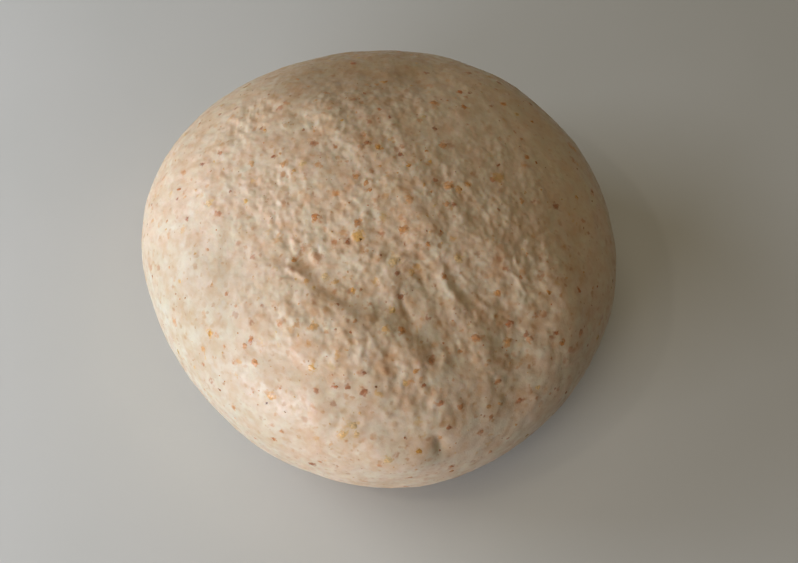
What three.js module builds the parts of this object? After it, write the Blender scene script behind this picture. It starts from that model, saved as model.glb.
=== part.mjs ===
// A ball of raw wholemeal spelt sourdough, kneaded and rounded, at rest on its own flat foot.
//
// It is one solid. The smooth ball comes from an outline, seen from above, and a profile, seen
// from the side. On top of it lie the folds that the hands left, the slow lumps of a slack dough,
// the pulled grain of its skin, and the low mounds that coarse bran pushes up from inside.
//
// Millimetres, +Z up. The origin is the middle of the foot's plane, under the middle of the box.
// +X is to the right and +Y points away, as somebody bending over the dough from -Y sees it.

import * as THREE from "three";
import { ImprovedNoise } from "three/addons/math/ImprovedNoise.js";

const { degToRad, lerp, seededRandom, smoothstep } = THREE.MathUtils;

// ---- The ball ----
const HEIGHT = 79; // of the smooth ball; the spine over the crown adds a little
const BELLY_HEIGHT = 34; // the level where the ball is widest
const BELLY_RADIUS = 77.7; // mean radius at that level
const UNDERCUT_DEPTH = 48; // how deep the lower half would reach if no table cut it off
const CROWN_FULLNESS = 2.2; // exponent of the profile above the belly: 2 is an ellipse
const UNDERCUT_FULLNESS = 2.4; // and below it
const AXIS = new THREE.Vector2(0.7, 1.3); // the outline's own centre, beside the middle of its box

// The outline is a circle with a few soft lobes: how many, how far out, and where the first one
// points, in degrees anticlockwise from +X.
const OUTLINE_LOBES = [
  { lobes: 2, swell: 1.7, towards: 155 },
  { lobes: 3, swell: 1.4, towards: 38 },
  { lobes: 4, swell: 0.65, towards: 77 },
];

// ---- The folds ----
// First the ball's large swells and its hollow, then the creases and dents of the skin. Each runs
// along a path of points on the skin, given from above. A negative height is a groove, and the
// radius is half its width. A skewed groove is steep on its right-hand side, as seen along the
// path, and its other side stands up as a lip.
const FOLDS = {
  spineOverTheCrown: {
    path: [[-50, 34], [-12, 16], [30, -6]],
    height: 1.8, radius: 20,
  },
  lobeOnTheNearLeft: {
    path: [[-40, -32], [-22, -46], [-8, -58]],
    height: 1.2, radius: 13,
  },
  longHollow: {
    path: [[-23, -22], [-12, -29], [0, -36], [12, -44], [18, -52]],
    height: -1.6, radius: 6.5,
  },
  pinch: {
    path: [[-27, -22], [-21, -23.3], [-16.5, -25.5]],
    height: -0.9, radius: 2.3,
  },
  ribUnderThePinch: {
    path: [[-26, -25], [-22, -26.4], [-18.5, -28]],
    height: 0.6, radius: 1.8,
  },
  knobBesideThePinch: {
    path: [[-17.8, -21.5], [-16.4, -23]],
    height: 0.6, radius: 2,
  },
  furrow: {
    path: [[8.2, -34], [9.4, -39], [12.5, -43.5], [17, -47.5]],
    height: -0.7, radius: 2.1,
  },
  swellingBesideTheFurrow: {
    path: [[12.5, -36.5], [16.5, -41.5]],
    height: 0.5, radius: 3.4,
  },
  crease: {
    path: [[22.6, -23], [23.6, -27.5], [26.4, -32], [30.5, -36], [35, -38.8]],
    height: -0.75, radius: 2.2, skew: 1.2,
  },
  poolBesideTheCrease: {
    path: [[29, -27.5], [36, -30.5]],
    height: -0.5, radius: 5.5,
  },
  rimOfThePool: {
    path: [[41.8, -20], [44, -24.8], [45.8, -29]],
    height: 0.4, radius: 1.8,
  },
  dentRightOfTheMiddle: {
    path: [[15.2, -49.5], [17.4, -53.5]],
    height: -0.6, radius: 2.2,
  },
  slotLowOnTheFront: {
    path: [[17.6, -68.2], [18.6, -70.6], [19.8, -73.2]],
    height: -0.9, radius: 2.2,
  },
};
const FOLD_STEPS = 32; // places measured along each path

// ---- The skin's own relief ----
const SLOW_LUMPS = { wavelength: 34, height: 0.6 }; // the slack dough's soft unevenness
const SMALL_LUMPS = { wavelength: 13, height: 0.35 };
const PULLED_GRAIN = { wavelength: 5.5, height: 0.38, stretch: 0.8 };
const FOOT_CALM = 7; // relief fades out over this height above the foot

// The skin was pulled level on the left of the ball, and down to the right on the rest of it:
// directions in degrees from +X, and the stretch of X over which one turns into the other.
const PULL = { left: 8, right: -57, from: -66, to: -14 };

// Mounds over coarse bran. They are set out on a spiral from the top down to a share of the
// profile, and each is then pushed off its place by up to half the jitter.
const MOUNDS = { count: 640, height: 0.35, lowest: 0.4, radius: 1.5, jitter: 5, downTo: 0.96, seed: 11 };
const GOLDEN_ANGLE = Math.PI * (3 - Math.sqrt(5));

// ---- The mesh ----
const CROWN_EDGE = 2.0; // facet size where the folds are
const FLANK_EDGE = 4.2; // facet size on the sides
const CROWN_REACH = 50; // distance over the skin from the top to where facets start to grow
const EDGE_GROWTH = 0.06; // how much a facet's edge grows for each millimetre past that
const FEWEST_IN_RING = 6;
const PROFILE_STEPS = 4000; // how finely the profile is measured when rings are spaced along it
const FOOT_RINGS = [ // from the rim inwards, as shares of the rim's radius
  { share: 0.62, count: 60 },
  { share: 0.3, count: 18 },
  { share: 0.1, count: 3 },
];

const noise = new ImprovedNoise();

// The smooth outline's radius, from the axis, at an angle seen from above.
function outlineRadius(angle) {
  return OUTLINE_LOBES.reduce((radius, { lobes, swell, towards }) => {
    return radius + swell * Math.cos(lobes * (angle - degToRad(towards)));
  }, BELLY_RADIUS);
}

// The quarter profile: how far it reaches one way, for how far it has gone the other way, both
// as shares of its whole reach.
const profile = (share, fullness) => (1 - share ** fullness) ** (1 / fullness);

// The table cuts the undercut off at this share of the outline's radius.
const footShare = profile(BELLY_HEIGHT / UNDERCUT_DEPTH, UNDERCUT_FULLNESS);

// A point of the smooth ball. Share runs over the profile, from 0 at the top to 1 at the foot.
function ballPoint(angle, share) {
  const outline = outlineRadius(angle);
  const footSlope = Math.atan2(BELLY_HEIGHT, outline * footShare);
  const slope = Math.PI / 2 - share * (Math.PI / 2 + footSlope);
  const [reach, fullness] = slope >= 0
    ? [HEIGHT - BELLY_HEIGHT, CROWN_FULLNESS]
    : [UNDERCUT_DEPTH, UNDERCUT_FULLNESS];
  const across = Math.cos(slope) / outline;
  const along = Math.abs(Math.sin(slope)) / reach;
  const radius = (across ** fullness + along ** fullness) ** (-1 / fullness);
  return new THREE.Vector3(
    AXIS.x + radius * Math.cos(slope) * Math.cos(angle),
    AXIS.y + radius * Math.cos(slope) * Math.sin(angle),
    Math.max(0, BELLY_HEIGHT + radius * Math.sin(slope)),
  );
}

// The point of the ball's upper skin at a place seen from above.
function skinPoint([x, y]) {
  const place = new THREE.Vector2(x, y).sub(AXIS);
  const across = place.length() / outlineRadius(place.angle());
  return new THREE.Vector3(x, y, lerp(BELLY_HEIGHT, HEIGHT, profile(across, CROWN_FULLNESS)));
}

// ---- Rings of points, and the skin between them ----

function edgeAt(travelled) {
  const grown = CROWN_EDGE + EDGE_GROWTH * Math.max(0, travelled - CROWN_REACH);
  return Math.min(FLANK_EDGE, grown);
}

// Where rings lie on the profile, spaced over the skin by the facets' size there. The last of
// them is the foot's rim.
function ringShares() {
  const shares = [];
  let travelled = 0;
  let sinceRing = 0;
  for (let i = 1; i <= PROFILE_STEPS; i++) {
    const step = ballPoint(0, i / PROFILE_STEPS).distanceTo(ballPoint(0, (i - 1) / PROFILE_STEPS));
    travelled += step;
    sinceRing += step;
    const edge = edgeAt(travelled);
    if (sinceRing >= edge * Math.sqrt(3 / 4)) {
      shares.push({ share: i / PROFILE_STEPS, edge });
      sinceRing = 0;
    }
  }
  const last = shares.at(-1).share;
  return shares.map(({ share, edge }) => ({ share: share / last, edge }));
}

function ring(count, turn, pointAt) {
  return Array.from({ length: count }, (_, i) => pointAt(((i + turn) / count) * 2 * Math.PI));
}

// Rings from the top to the foot's rim, and then inwards over the flat foot. Each holds its
// points in order round the axis.
function ballRings() {
  const rings = [[ballPoint(0, 0)]];
  ringShares().forEach(({ share, edge }, row) => {
    const girth = 2 * Math.PI * (ballPoint(0, share).x - AXIS.x);
    const count = Math.max(FEWEST_IN_RING, Math.round(girth / edge));
    const turn = row % 2 ? 0.5 : 0;
    rings.push(ring(count, turn, (angle) => ballPoint(angle, share)));
  });
  const footCentre = new THREE.Vector3(AXIS.x, AXIS.y, 0);
  for (const { share, count } of FOOT_RINGS) {
    rings.push(ring(count, 0, (angle) => ballPoint(angle, 1).lerp(footCentre, 1 - share)));
  }
  return rings;
}

// Joins rings of any counts into one closed skin: between two rings, each next triangle steps
// along the ring whose next point comes first round the axis.
function skinRings(rings) {
  const index = [];
  let start = 0;
  for (let r = 0; r + 1 < rings.length; r++) {
    const [upper, lower] = [rings[r].length, rings[r + 1].length];
    const up = (i) => start + (i % upper);
    const low = (j) => start + upper + (j % lower);
    const fan = upper === 1; // the first ring is the single point at the top
    let [i, j] = [0, 0];
    while (j < lower || (i < upper && !fan)) {
      const lowerFirst = j < lower && (j + 0.5) / lower <= (i + 0.5) / upper;
      if (fan || lowerFirst || i === upper) index.push(up(i), low(j), low(++j));
      else index.push(up(i), low(j), up(++i));
    }
    start += upper;
  }
  for (let i = 1; i + 1 < rings.at(-1).length; i++) index.push(start, start + i + 1, start + i);
  const skin = new THREE.BufferGeometry().setFromPoints(rings.flat());
  skin.setIndex(index);
  skin.computeVertexNormals();
  return skin;
}

// ---- Relief: each of these gives a height for a point of the smooth ball ----

function lumps(point, { wavelength, height }) {
  return height * noise.noise(point.x / wavelength, point.y / wavelength, point.z / wavelength);
}

// Lumps drawn out along the pull, by averaging them over a short way there.
function pulledLumps(point, grain) {
  const angle = degToRad(lerp(PULL.left, PULL.right, smoothstep(point.x, PULL.from, PULL.to)));
  const step = new THREE.Vector3(Math.cos(angle), Math.sin(angle), 0);
  step.multiplyScalar(grain.wavelength * grain.stretch);
  const places = [-1, 0, 1].map((i) => point.clone().addScaledVector(step, i));
  return places.reduce((sum, place) => sum + lumps(place, grain), 0) / Math.sqrt(places.length);
}

// A fold: the nearest place on its path gives how deep it is there, tapering off towards both
// ends, and on which side of the path the point lies.
function makeFold({ path, height, radius, skew = 0 }) {
  const line = new THREE.CatmullRomCurve3(path.map(skinPoint)).getPoints(FOLD_STEPS);
  return (point) => {
    let nearest = 0;
    for (let i = 1; i <= FOLD_STEPS; i++) {
      if (line[i].distanceToSquared(point) < line[nearest].distanceToSquared(point)) nearest = i;
    }
    const away = line[nearest].distanceTo(point) / radius;
    const taper = Math.sqrt(Math.sin((Math.PI * (nearest + 1)) / (FOLD_STEPS + 2)));
    const along = line[Math.min(nearest + 1, FOLD_STEPS)].clone().sub(line[Math.max(nearest - 1, 0)]);
    const offset = point.clone().sub(line[nearest]);
    const left = Math.sign(along.x * offset.y - along.y * offset.x);
    return height * taper * Math.exp(-away * away) * (1 - skew * left * away);
  };
}

function makeMounds({ count, height, lowest, radius, jitter, downTo, seed }) {
  seededRandom(seed);
  const push = () => (seededRandom() - 0.5) * jitter;
  const mounds = Array.from({ length: count }, (_, i) => {
    const top = ballPoint(i * GOLDEN_ANGLE, downTo * Math.sqrt((i + 0.5) / count));
    top.add(new THREE.Vector3(push(), push(), 0));
    return { top, height: height * lerp(lowest, 1, seededRandom()) };
  });
  return (point) => mounds.reduce((sum, mound) => {
    const away = mound.top.distanceTo(point) / radius;
    return sum + mound.height * Math.exp(-away * away);
  }, 0);
}

// ---- The dough ----

// Moves each point of the skin along its normal by all the relief that it carries. The foot and
// its rim stay flat on the table.
function raiseRelief(skin) {
  const reliefs = [
    ...Object.values(FOLDS).map(makeFold),
    makeMounds(MOUNDS),
    (point) => lumps(point, SLOW_LUMPS),
    (point) => lumps(point, SMALL_LUMPS),
    (point) => pulledLumps(point, PULLED_GRAIN),
  ];
  const positions = skin.getAttribute("position");
  const normals = skin.getAttribute("normal");
  const point = new THREE.Vector3();
  const normal = new THREE.Vector3();
  for (let i = 0; i < positions.count; i++) {
    point.fromBufferAttribute(positions, i);
    normal.fromBufferAttribute(normals, i);
    const calm = smoothstep(point.z, 0, FOOT_CALM);
    if (calm === 0) continue;
    const height = reliefs.reduce((sum, relief) => sum + relief(point), 0);
    point.addScaledVector(normal, height * calm);
    positions.setXYZ(i, point.x, point.y, point.z);
  }
}

function makeDough() {
  const skin = skinRings(ballRings());
  raiseRelief(skin);
  skin.computeBoundingBox();
  const middle = skin.boundingBox.getCenter(new THREE.Vector3());
  skin.translate(-middle.x, -middle.y, 0);
  skin.computeVertexNormals();
  const finish = new THREE.MeshStandardMaterial({ color: 0xd3b594, roughness: 0.55, metalness: 0 });
  const dough = new THREE.Mesh(skin, finish);
  dough.name = "dough";
  return dough;
}

const ball = new THREE.Group();
ball.add(makeDough());

export default ball;
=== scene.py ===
import math

import bmesh
import bpy
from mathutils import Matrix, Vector
from mathutils.bvhtree import BVHTree


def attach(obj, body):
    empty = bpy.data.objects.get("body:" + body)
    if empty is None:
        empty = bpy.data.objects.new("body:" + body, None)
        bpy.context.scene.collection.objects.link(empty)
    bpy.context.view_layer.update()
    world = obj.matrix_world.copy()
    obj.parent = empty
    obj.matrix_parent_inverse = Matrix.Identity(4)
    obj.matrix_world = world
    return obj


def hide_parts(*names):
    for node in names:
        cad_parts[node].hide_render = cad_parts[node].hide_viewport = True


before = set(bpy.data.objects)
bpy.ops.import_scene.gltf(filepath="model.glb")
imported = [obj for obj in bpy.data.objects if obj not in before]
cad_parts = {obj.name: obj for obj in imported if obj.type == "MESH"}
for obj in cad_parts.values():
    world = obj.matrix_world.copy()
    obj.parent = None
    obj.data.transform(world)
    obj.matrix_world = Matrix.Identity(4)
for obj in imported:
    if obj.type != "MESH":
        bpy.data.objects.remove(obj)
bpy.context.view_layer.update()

# ---- The table, the light and the camera ----
# A pale grey laminate counter under a ball of raw dough. A low, broad window on the near left
# lights it, a weaker one fills in from the far left, and a large soft ceiling light adds to both.
# A small lamp puts a glint on the wettest flakes.
MM = 0.001
scene = bpy.context.scene
scene.view_settings.view_transform = "Standard"


def linear(hex_colour, alpha=1.0):
    """A colour from its sRGB hex value, as the linear one that a socket takes."""
    channels = [int(hex_colour[i:i + 2], 16) / 255 for i in (1, 3, 5)]
    bent = [c / 12.92 if c <= 0.04045 else ((c + 0.055) / 1.055) ** 2.4 for c in channels]
    return (*bent, alpha)


def add(tree, kind, *values, sockets=None, out=0, **settings):
    """Adds a node with its settings, and sets or links its inputs by order or by name.

    It gives one of the node's outputs back, by order or by name.
    """
    node = tree.nodes.new(kind)
    for name, value in settings.items():
        setattr(node, name, value)
    for key, value in [*enumerate(values), *(sockets or {}).items()]:
        if isinstance(key, str):
            key = [i for i, s in enumerate(node.inputs) if s.name == key and s.enabled][0]
        if isinstance(value, (bpy.types.NodeSocket, list)):
            for source in value if isinstance(value, list) else [value]:
                tree.links.new(source, node.inputs[key])
        elif value is not None:
            node.inputs[key].default_value = value
    if isinstance(out, str):
        out = [i for i, s in enumerate(node.outputs) if s.name == out and s.enabled][0]
    return node.outputs[out] if node.outputs else None


def new_finish(name):
    """An empty material, its tree, and the tree's Object coordinates."""
    finish = bpy.data.materials.new(name)
    finish.use_nodes = True
    finish.node_tree.nodes.clear()
    place = add(finish.node_tree, "ShaderNodeTexCoord", out="Object")
    return finish, finish.node_tree, place


COUNTER_PALE = "#D0D0CB"
COUNTER_DEEP = "#C9CAC4"
COUNTER_CLOUD = 60 * MM  # the faint unevenness of the counter's colour
COUNTER_GRAIN = 1.2 * MM  # its moulded matt grain
COUNTER_GRAIN_DEPTH = 0.05 * MM

# Laminate, pressed against a matt plate: an even pale grey with a very fine dull grain.
counter_finish, tree, place = new_finish("matt_laminate")
cloud = add(tree, "ShaderNodeTexNoise", place, sockets={"Scale": 1 / COUNTER_CLOUD, "Detail": 2.0})
colour = add(tree, "ShaderNodeMix", data_type="RGBA", out="Result",
             sockets={"Factor": cloud, "A": linear(COUNTER_DEEP), "B": linear(COUNTER_PALE)})
grain = add(tree, "ShaderNodeTexNoise", place, sockets={"Scale": 1 / COUNTER_GRAIN, "Detail": 2.0})
bump = add(tree, "ShaderNodeBump", sockets={
    "Strength": 0.25, "Distance": COUNTER_GRAIN_DEPTH, "Height": grain})
shader = add(tree, "ShaderNodeBsdfPrincipled", sockets={
    "Base Color": colour, "Roughness": 0.55, "Normal": bump})
add(tree, "ShaderNodeOutputMaterial", shader)

COUNTER_SIDE = 3.0
half = COUNTER_SIDE / 2
counter_mesh = bpy.data.meshes.new("counter")
counter_mesh.from_pydata(
    [(-half, -half, 0), (half, -half, 0), (half, half, 0), (-half, half, 0)], [], [(0, 1, 2, 3)])
counter_mesh.materials.append(counter_finish)
counter = bpy.data.objects.new("counter", counter_mesh)
scene.collection.objects.link(counter)

# Where each light hangs, by its azimuth and elevation in degrees and its distance in metres, how
# wide it is in metres, and its power in watts.
LIGHTS = {
    "near_left_window": dict(azimuth=225, elevation=5, distance=0.72, size=0.45, power=6.8,
                             colour="#ECF0FF"),
    "far_left_window": dict(azimuth=165, elevation=22, distance=0.72, size=0.45, power=3.5,
                            colour="#EAF1FF"),
    "ceiling": dict(azimuth=0, elevation=88, distance=1.5, size=1.2, power=5.7, colour="#FFEECF"),
    "lamp": dict(azimuth=200, elevation=60, distance=1.0, size=0.04, power=0.28, colour="#FFF1DC"),
}
LIT_POINT = Vector((0, 0, 30 * MM))  # all of them point here, inside the dough
ROOM_GLOW = 0.015

for name, lit in LIGHTS.items():
    light = bpy.data.lights.new(name, "AREA")
    light.size = lit["size"]
    light.energy = lit["power"]
    light.color = linear(lit["colour"])[:3]
    turn, lift = math.radians(lit["azimuth"]), math.radians(lit["elevation"])
    towards = Vector((math.cos(turn) * math.cos(lift), math.sin(turn) * math.cos(lift), math.sin(lift)))
    hung = bpy.data.objects.new(name, light)
    hung.location = towards * lit["distance"] + LIT_POINT
    hung.rotation_euler = (-towards).to_track_quat("-Z", "Y").to_euler()
    scene.collection.objects.link(hung)

room = bpy.data.worlds.new("room")
room.use_nodes = True
room.node_tree.nodes["Background"].inputs["Color"].default_value = linear("#FFF6EA")
room.node_tree.nodes["Background"].inputs["Strength"].default_value = ROOM_GLOW
scene.world = room

VIEW_ELEVATION = math.radians(64)
VIEW_DISTANCE = 380 * MM
VIEW_WIDTH = 265 * MM  # how much the picture takes in at that distance
DOUGH_MIDDLE = Vector((0.75, 1.29, 40)) * MM
AIM_RIGHT = 6.6 * MM  # how far right of the dough's middle the camera looks
AIM_BELOW = 11.8 * MM  # and how far below it
SENSOR_WIDTH = 36
right = Vector((1, 0, 0))
forward = Vector((0, math.cos(VIEW_ELEVATION), -math.sin(VIEW_ELEVATION)))
aim = DOUGH_MIDDLE + right * AIM_RIGHT - right.cross(forward) * AIM_BELOW
camera_data = bpy.data.cameras.new("camera")
camera_data.sensor_width = SENSOR_WIDTH
camera_data.lens = SENSOR_WIDTH * VIEW_DISTANCE / VIEW_WIDTH
camera = bpy.data.objects.new("camera", camera_data)
camera.location = aim - forward * VIEW_DISTANCE
camera.rotation_euler = forward.to_track_quat("-Z", "Y").to_euler()
scene.collection.objects.link(camera)
scene.camera = camera

# ---- The dough's skin ----
# Raw wholemeal spelt dough, kneaded and rounded until its skin is stretched smooth over the
# crown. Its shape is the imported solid's own, made finer: the hands' creases are pressed in
# sharply, and the skin is drawn out in small lumps along the way it was pulled.
FINER = 3  # cuts in each edge of the solid, so that each facet becomes sixteen
SOFTENING = 9  # rounds of smoothing, which take the facets' corners off
TABLE_LEVEL = 0.05 * MM  # points up to here lie on the table and stay flat

# Swells, creases and ridges: the height, the radius and the path from above of each, all in
# millimetres. A negative height is a groove.
CREASES = {
    "valley": (-1.7, 6.5, [(8, -21), (14.5, -29), (19.5, -36.5), (25, -45.5), (28.5, -55),
                           (30.5, -66)]),
    "right_valley": (-1.9, 7.8, [(33, -27), (37, -35.6), (40.5, -45.4), (41, -56.3), (36, -67.5)]),
    "valley_head": (-0.5, 4.5, [(11, -26), (17, -31), (24, -31)]),
    "valley_crest": (1.5, 4.8, [(0.5, -41), (6.4, -45.6), (11.6, -48), (15.4, -52)]),
    "crease_swell": (0.9, 4.8, [(30, -13), (35, -17), (39.5, -23)]),
    "knoll": (0.6, 5, [(3, 4), (8, -2)]),
    "ridge_side": (0.5, 4.5, [(13.5, -12), (15, -20)]),
    "near_swell": (1.2, 4.5, [(-10.5, -30.5), (-7.2, -39.8), (-2.2, -47.4), (-1.6, -54.6)]),
    "near_crest": (0.5, 5, [(-8.5, -45), (-7, -52)]),
    "near_trough": (-1.5, 6, [(-39, -45), (-29, -50), (-19.2, -54), (-9, -58)]),
    "left_trough": (-1, 7, [(-48.3, -16.8), (-34.2, -17.1), (-18.5, -17.2), (-2.1, -15.6)]),
    "left_dip": (-1.1, 10, [(-49, -2), (-47, -14), (-40, -25), (-37, -37)]),
    "left_fold": (-0.8, 5.5, [(-38, -36), (-30, -32.5), (-21.5, -27.5)]),
    "left_hollow": (-0.6, 6, [(-41, -8), (-28, -9)]),
    "middle_swell": (0.9, 6, [(6.7, 8.4), (11.2, -2.3), (16.2, -15.4)]),
    "far_swell": (1.6, 10, [(-45.6, 35.2), (-25.9, 36.7), (-8.2, 31.3), (7.7, 24.8)]),
    "back_swell": (0.6, 8, [(-14, 18), (2, 12), (18, 8), (34, 2)]),
    "back_left_swell": (0.7, 7.5, [(-34, 24), (-27, 13), (-18, 3), (-8, -4)]),
    "top_swell": (0.8, 7, [(-25, 26), (-14, 25), (-7, 15)]),
    "far_fall": (-0.7, 8, [(4, 49), (17, 47), (30, 42)]),
    "right_swell": (2.1, 8.5, [(50, -11), (56.5, -23), (59.5, -35), (57.9, -46)]),
    "low_swell": (1.8, 6, [(-4, -71.5), (5, -74.5), (13, -74), (20, -70.5)]),
    "low_dip": (-0.6, 5, [(4, -58.5), (18, -60)]),
    "low_left_swell": (0.5, 6, [(-19, -63), (-11, -67)]),
    "furrow_side": (-0.4, 3.4, [(11.5, -35), (14.5, -39)]),
    "pool": (-0.9, 3.8, [(24.8, -23.6), (26.8, -27.6), (29.6, -31), (34, -34)]),
    "crease": (-0.35, 0.8, [(22.2, -23.2), (22.6, -25.4), (23.6, -28.2), (25.6, -31.2), (28.4, -33.6),
                            (31.6, -35.4), (34.7, -36.5)]),
    "crease_lip": (0.5, 1.2, [(20.4, -24.6), (21, -27.4), (22.4, -30.4), (24.8, -33.2), (27, -35.4)]),
    "pit": (-0.35, 0.9, [(24.2, -26.6), (25.2, -27.6)]),
    "thin_skin": (0.32, 0.5, [(39.5, -24.4), (41.9, -25.2), (43.1, -26.8), (44.1, -28.4), (45.1, -29.9),
                              (44.5, -31.2)]),
    "thin_skin_above": (0.3, 0.5, [(41.9, -19.4), (42.1, -21.8)]),
    "oval_rim": (0.25, 0.55, [(29.8, -22.6), (31, -22), (32.2, -21.9), (33.7, -22.6)]),
    "pinch": (-0.6, 1.3, [(-24.4, -20.2), (-22.3, -21.9), (-19.8, -22.9)]),
    "pinch_rib": (0.5, 0.95, [(-26.4, -23.6), (-24.2, -25), (-21, -26.6)]),
    "under_pinch": (-0.35, 0.9, [(-26, -25.8), (-23.8, -27), (-20.6, -28.6)]),
    "pinch_knob": (0.3, 1, [(-18.7, -20.8), (-17.8, -23.4)]),
    "hollow_wall": (-0.6, 2, [(-16.4, -28.8), (-14, -30.7), (-11.3, -32.9), (-9, -34.6),
                              (-5.4, -36.8)]),
    "rill": (-0.3, 0.9, [(-14.6, -35.8), (-12.4, -37.4), (-10.3, -39.4)]),
    "left_dent": (-0.45, 1.2, [(-27, -15), (-25.5, -16.6), (-24.3, -17.4)]),
    "middle_dent": (-0.3, 1.2, [(-17.8, -18.8), (-16.5, -20.2), (-15.2, -21.6)]),
    "upper_dent": (-0.35, 1.1, [(-16.4, -12.5), (-15, -14.2)]),
    "far_dent": (-0.45, 1.3, [(-33.2, 33.6), (-32.1, 31.7)]),
    "near_dent": (-0.4, 1.4, [(3.3, -47.6), (5.9, -50.1)]),
    "furrow": (-0.7, 1, [(7.6, -31.5), (8, -34.4), (9.4, -37.6), (12, -41.2)]),
    "furrow_branch": (-0.22, 1, [(12.3, -22.9), (12.9, -25.3), (14.1, -28.2), (16.6, -31.8)]),
    "dent": (-0.6, 1.3, [(15.5, -48.8), (16.9, -50), (17.8, -51.7)]),
    "dent_rim": (0.3, 0.85, [(18, -48), (20.6, -49), (20.2, -51), (19.2, -53.2)]),
    "slot": (-0.8, 1.2, [(18.3, -68.9), (19.1, -71), (20, -72.2)]),
    "far_right_ridge": (0.25, 0.6, [(66, 17), (68.6, 11.5)]),
}

# Lumps of the skin. A size is the spacing of the lumps across the pull, and a length how far
# they are drawn out along it, both in millimetres; a height is the noise's whole range.
LUMPS = {
    "Lump height": dict(size=2.5, length=3.1, height=0.52),
    "Broad lump height": dict(size=5.5, length=7.0, height=0.55),
    "Grit height": dict(size=1.3, length=1.6, height=0.32),
}
STRETCH_LINES = dict(size=5.0, length=12.0, height=0.06, width=0.05)
CALM_BY_TABLE = 7 * MM  # up to this height the relief dies out towards the foot


def new_tree(name, inputs, outputs):
    """A geometry tree with named sockets: the tree, its inputs by name and its way out."""
    tree = bpy.data.node_groups.new(name, "GeometryNodeTree")
    for way, sockets in (("INPUT", inputs), ("OUTPUT", outputs)):
        for socket, kind in sockets.items():
            tree.interface.new_socket(socket, in_out=way, socket_type="NodeSocket" + kind)
    return tree, tree.nodes.new("NodeGroupInput").outputs, tree.nodes.new("NodeGroupOutput").inputs


def make_plain(piece, tree, values):
    """Runs a geometry tree on a piece and leaves the piece with the plain mesh that comes out."""
    modifier = piece.modifiers.new(tree.name, "NODES")
    modifier.node_group = tree
    for item in tree.interface.items_tree:
        if item.in_out == "INPUT" and item.name in values:
            modifier[item.identifier] = values[item.name]
    depsgraph = bpy.context.evaluated_depsgraph_get()
    made = bpy.data.meshes.new_from_object(
        piece.evaluated_get(depsgraph), preserve_all_data_layers=True, depsgraph=depsgraph)
    piece.modifiers.clear()
    before = piece.data
    piece.data = made
    if before.users == 0:
        bpy.data.meshes.remove(before)


FROM_ABOVE = (0, 0, 200 * MM)  # what is laid on the skin comes down from well above the dough


def landing(tree, skin):
    """Where each point of a geometry comes down on the skin."""
    above = add(tree, "GeometryNodeInputPosition")
    above = add(tree, "ShaderNodeVectorMath", above, FROM_ABOVE, operation="ADD")
    return add(tree, "GeometryNodeRaycast", out="Hit Position", sockets={
        "Target Geometry": skin, "Source Position": above, "Ray Direction": (0, 0, -1),
        "Ray Length": 1.0})


def bell(tree, value, narrowness=1.0):
    """A bell curve, which is one where the value is zero."""
    value = add(tree, "ShaderNodeMath", value, value, operation="MULTIPLY")
    value = add(tree, "ShaderNodeMath", value, -narrowness, operation="MULTIPLY")
    return add(tree, "ShaderNodeMath", value, operation="EXPONENT")


# One crease: a path from above is laid on the skin, and each place of the dough gets a height
# from how far the path is from it. The height follows the arch of a sine along the path, so that
# a crease is shallow at both ends.
PATH_POINTS = 48
ARCH_START, ARCH_SPAN = 0.1, math.pi * 0.94  # the part of the sine that is used, in radians
ARCH_POWER = 0.6  # and the power that flattens its top
pressed, given, out = new_tree(
    "pressed_crease",
    {"Skin": "Geometry", "Path": "Object", "Height": "Float", "Radius": "Float"},
    {"Height": "Float"})
path = add(pressed, "GeometryNodeObjectInfo", given["Path"], out="Geometry")
path = add(pressed, "GeometryNodeResampleCurve", sockets={"Curve": path, "Count": PATH_POINTS})
path = add(pressed, "GeometryNodeSetPosition", sockets={
    "Geometry": path, "Position": landing(pressed, given["Skin"])})
line = add(pressed, "GeometryNodeCurveToMesh", path)
distance = add(pressed, "GeometryNodeProximity", line, target_element="EDGES", out="Distance")
nearest = add(pressed, "GeometryNodeSampleNearest", line, domain="POINT")
along = add(pressed, "ShaderNodeMath", nearest, PATH_POINTS - 1.0, operation="DIVIDE")
arch = add(pressed, "ShaderNodeMath", along, ARCH_SPAN, ARCH_START, operation="MULTIPLY_ADD")
arch = add(pressed, "ShaderNodeMath", arch, operation="SINE")
arch = add(pressed, "ShaderNodeMath", arch, ARCH_POWER, operation="POWER")
away = add(pressed, "ShaderNodeMath", distance, given["Radius"], operation="DIVIDE")
fade = add(pressed, "ShaderNodeMath", bell(pressed, away), arch, operation="MULTIPLY")
height = add(pressed, "ShaderNodeMath", fade, given["Height"], operation="MULTIPLY")
pressed.links.new(height, out["Height"])


def lay_path(name, path):
    """A smooth curve through points given from above, for a crease to follow."""
    curve = bpy.data.curves.new(name, "CURVE")
    curve.dimensions = "3D"
    spline = curve.splines.new("BEZIER")
    spline.bezier_points.add(len(path) - 1)
    for point, (x, y) in zip(spline.bezier_points, path):
        point.co = (x * MM, y * MM, 0)
        point.handle_left_type = point.handle_right_type = "AUTO"
    laid = bpy.data.objects.new(name, curve)
    scene.collection.objects.link(laid)
    return laid


# The skin was pulled level on the left of the ball, down to the right over the middle, and more
# steeply near the right-hand rim: (x in millimetres, from and to, and the turn in degrees).
PULL_START = 8
PULL_TURNS = [(-66, -14, -65), (30, 72, -13)]

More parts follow.
